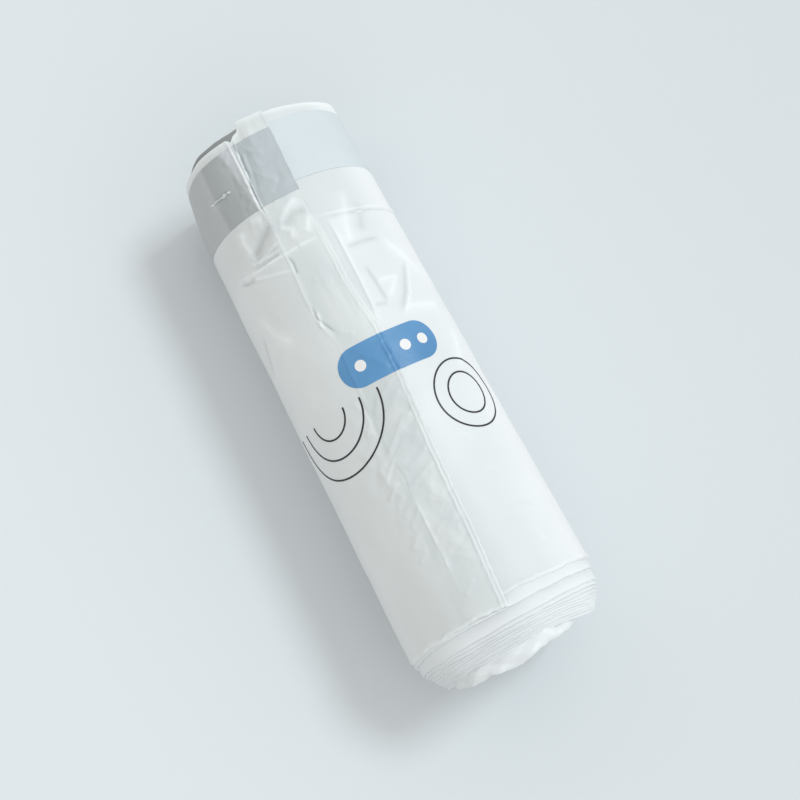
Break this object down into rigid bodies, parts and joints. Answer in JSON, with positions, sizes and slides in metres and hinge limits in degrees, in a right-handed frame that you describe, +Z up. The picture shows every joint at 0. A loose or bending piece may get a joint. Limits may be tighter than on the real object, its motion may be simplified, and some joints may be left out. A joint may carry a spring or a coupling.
{
  "type": "roll of drawstring litter bags",
  "caption": "Coreless roll of white drawstring bags lying on its side, with a grey tape in the hem and turns that stand out at the folded end.",
  "frame": {"origin": "on the surface under the middle of the roll: centre of the bounding box's bottom", "axes": "+X along the roll from the hem end to the folded end that stands out, +Z up, +Y to the side on which the outer turn's free edge lies"},
  "size_m": [0.2378, 0.0811, 0.0804],
  "materials": {
    "white_film": "thin translucent white film, soft gloss, fine wrinkles",
    "tape_film": "grey blue drawtape seen through the hem's film, soft gloss"
  },
  "bodies": {
    "root": {"bag_roll": "white_film", "drawtape": "tape_film"}
  },
  "joints": []
}
